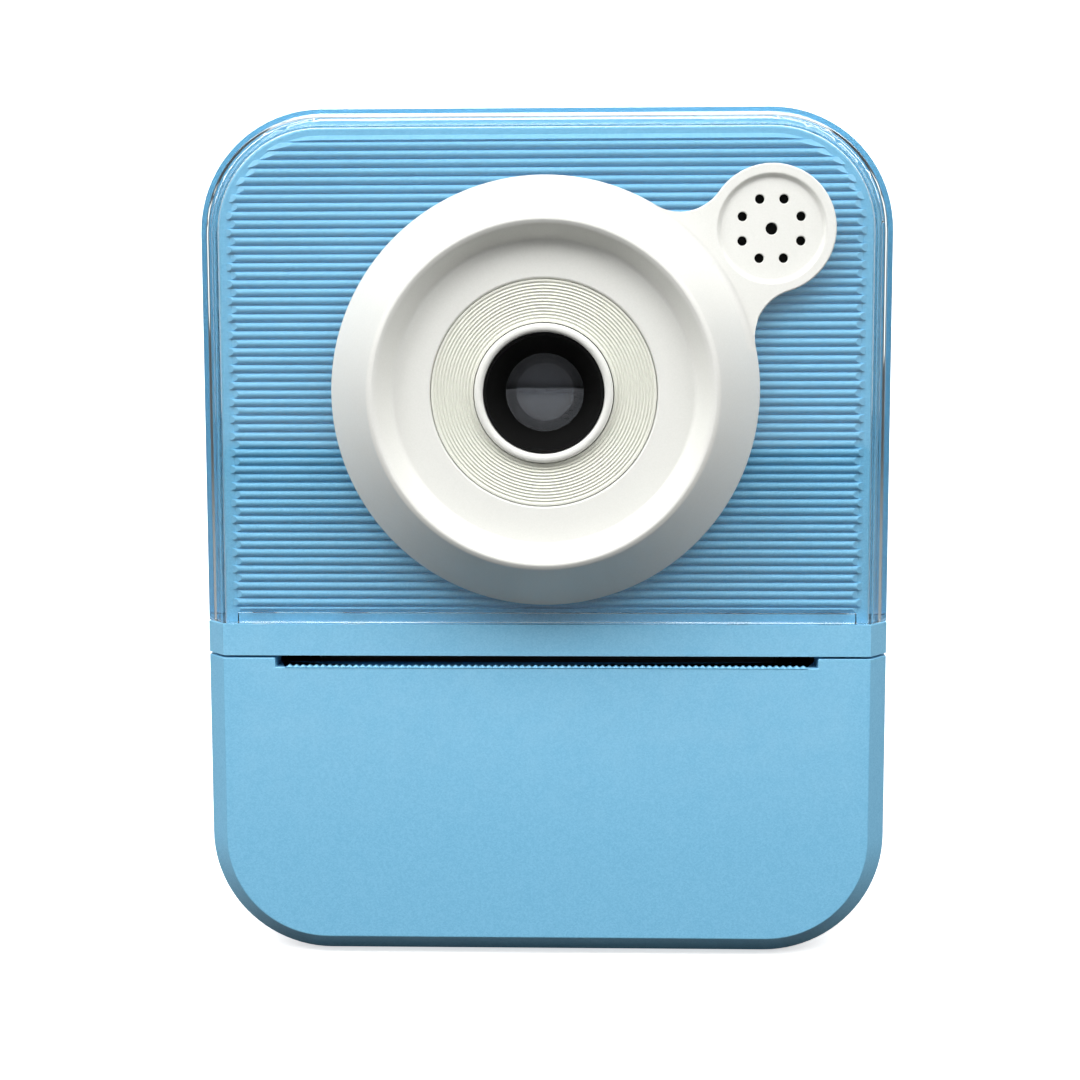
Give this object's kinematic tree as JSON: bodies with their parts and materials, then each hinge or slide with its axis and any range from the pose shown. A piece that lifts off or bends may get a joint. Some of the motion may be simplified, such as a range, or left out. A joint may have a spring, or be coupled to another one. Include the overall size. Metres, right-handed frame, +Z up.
{
  "type": "instant-print toy camera",
  "caption": "Children's instant-print digital camera: ribbed blue shell under a clear cover, white lens bezel with sound-hole lobe, hinged paper door, thermal printer, keys and screen.",
  "frame": {"origin": "centre of the bounding box at the base the camera stands on", "axes": "+Z up, -Y is the way the lens looks, +X to the right of someone who faces the lens"},
  "size_m": [0.082, 0.049, 0.1038],
  "materials": {
    "shell_blue": "satin, finely grained",
    "cover_clear": "clear, polished",
    "bezel_white": "satin",
    "ring_cream": "satin",
    "barrel_black": "matte",
    "lens_glass": "coated, polished",
    "window_glass": "polished, dark",
    "screen": "gloss",
    "key_white": "satin",
    "frame_black": "matte",
    "gear_nylon": "satin",
    "roller_rubber": "matte",
    "steel": "brushed",
    "sink_aluminium": "satin",
    "head_ceramic": "glazed strip",
    "thermal_paper": "smooth",
    "core_card": "rough",
    "board_green": "solder mask",
    "chip_black": "moulded",
    "battery_wrap": "foil pouch",
    "capsule_metal": "satin"
  },
  "bodies": {
    "camera_body": {"front_housing": "shell_blue", "clear_cover": "cover_clear", "rear_housing": "shell_blue", "lens_bezel": "bezel_white", "fluted_ring": "ring_cream", "lens_ring": "bezel_white", "lens_hood": "barrel_black", "front_lens": "lens_glass", "lens_barrel": "barrel_black", "inner_lens": "lens_glass", "image_sensor": "chip_black", "sensor_board": "board_green", "sound_capsule": "capsule_metal", "hinge_pins": "steel", "gear_posts": "steel", "stepper_motor": "steel", "print_head": "head_ceramic", "heat_sink": "sink_aluminium", "head_springs": "steel", "printer_frame": "frame_black", "screen_window": "window_glass", "display_panel": "screen", "main_board": "board_green", "board_chips": "chip_black", "battery": "battery_wrap", "key_board": "board_green", "top_board": "board_green", "tact_switches": "chip_black", "usb_socket": "steel", "card_socket": "steel", "strap_pin": "steel", "housing_screws": "steel", "bezel_screws": "steel"},
    "door": {"paper_door": "shell_blue", "platen_bushes": "gear_nylon"},
    "platen": {"platen_shaft": "steel", "platen_rubber": "roller_rubber", "platen_gear": "gear_nylon"},
    "drive": {"drive_gear": "gear_nylon"},
    "reduction": {"reduction_gear": "gear_nylon"},
    "pinion": {"motor_pinion": "gear_nylon", "motor_shaft": "steel"},
    "roll": {"paper_roll": "thermal_paper", "roll_core": "core_card"},
    "ok_key_body": {"ok_key": "key_white"},
    "menu_key_body": {"menu_key": "key_white"},
    "print_key_body": {"print_key": "key_white"},
    "arrow_key_up_body": {"arrow_key_up": "key_white"},
    "arrow_key_down_body": {"arrow_key_down": "key_white"},
    "arrow_key_left_body": {"arrow_key_left": "key_white"},
    "arrow_key_right_body": {"arrow_key_right": "key_white"},
    "shutter_key_body": {"shutter_key": "key_white"},
    "power_key_body": {"power_key": "key_white"}
  },
  "joints": [
    {"name": "door_hinge", "type": "hinge", "parent": "camera_body", "child": "door", "pos_m": [0, 0.002, 0.0065], "axis": [1, 0, 0], "range_deg": [0, 80]},
    {"name": "platen_spin", "type": "hinge", "parent": "door", "child": "platen", "pos_m": [0, -0.0084, 0.0296], "axis": [1, 0, 0], "continuous": true},
    {"name": "drive_spin", "type": "hinge", "parent": "camera_body", "child": "drive", "pos_m": [0, 0.00072, 0.03371], "axis": [1, 0, 0], "continuous": true},
    {"name": "reduction_spin", "type": "hinge", "parent": "camera_body", "child": "reduction", "pos_m": [0, 0.00922, 0.03371], "axis": [1, 0, 0], "continuous": true},
    {"name": "motor_spin", "type": "hinge", "parent": "camera_body", "child": "pinion", "pos_m": [0, 0.00922, 0.04521], "axis": [1, 0, 0], "continuous": true},
    {"name": "roll_spin", "type": "hinge", "parent": "camera_body", "child": "roll", "pos_m": [0, 0.003, 0.016], "axis": [1, 0, 0], "continuous": true},
    {"name": "ok_key_press", "type": "slide", "parent": "camera_body", "child": "ok_key_body", "axis": [0, -1, 0], "range_m": [0, 0.0005], "stiffness_N_per_m": 2500},
    {"name": "menu_key_press", "type": "slide", "parent": "camera_body", "child": "menu_key_body", "axis": [0, -1, 0], "range_m": [0, 0.0005], "stiffness_N_per_m": 2500},
    {"name": "print_key_press", "type": "slide", "parent": "camera_body", "child": "print_key_body", "axis": [0, -1, 0], "range_m": [0, 0.0005], "stiffness_N_per_m": 2500},
    {"name": "arrow_key_up_press", "type": "slide", "parent": "camera_body", "child": "arrow_key_up_body", "axis": [0, -1, 0], "range_m": [0, 0.0005], "stiffness_N_per_m": 2500},
    {"name": "arrow_key_down_press", "type": "slide", "parent": "camera_body", "child": "arrow_key_down_body", "axis": [0, -1, 0], "range_m": [0, 0.0005], "stiffness_N_per_m": 2500},
    {"name": "arrow_key_left_press", "type": "slide", "parent": "camera_body", "child": "arrow_key_left_body", "axis": [0, -1, 0], "range_m": [0, 0.0005], "stiffness_N_per_m": 2500},
    {"name": "arrow_key_right_press", "type": "slide", "parent": "camera_body", "child": "arrow_key_right_body", "axis": [0, -1, 0], "range_m": [0, 0.0005], "stiffness_N_per_m": 2500},
    {"name": "shutter_key_press", "type": "slide", "parent": "camera_body", "child": "shutter_key_body", "axis": [0, 0, -1], "range_m": [0, 0.0005], "stiffness_N_per_m": 2500},
    {"name": "power_key_press", "type": "slide", "parent": "camera_body", "child": "power_key_body", "axis": [0, 0, -1], "range_m": [0, 0.0005], "stiffness_N_per_m": 2500}
  ],
  "couplings": [
    {"joint": "drive_spin", "follows": "platen_spin", "ratio": -1},
    {"joint": "reduction_spin", "follows": "platen_spin", "ratio": 1.4286},
    {"joint": "motor_spin", "follows": "platen_spin", "ratio": -5.1429}
  ]
}
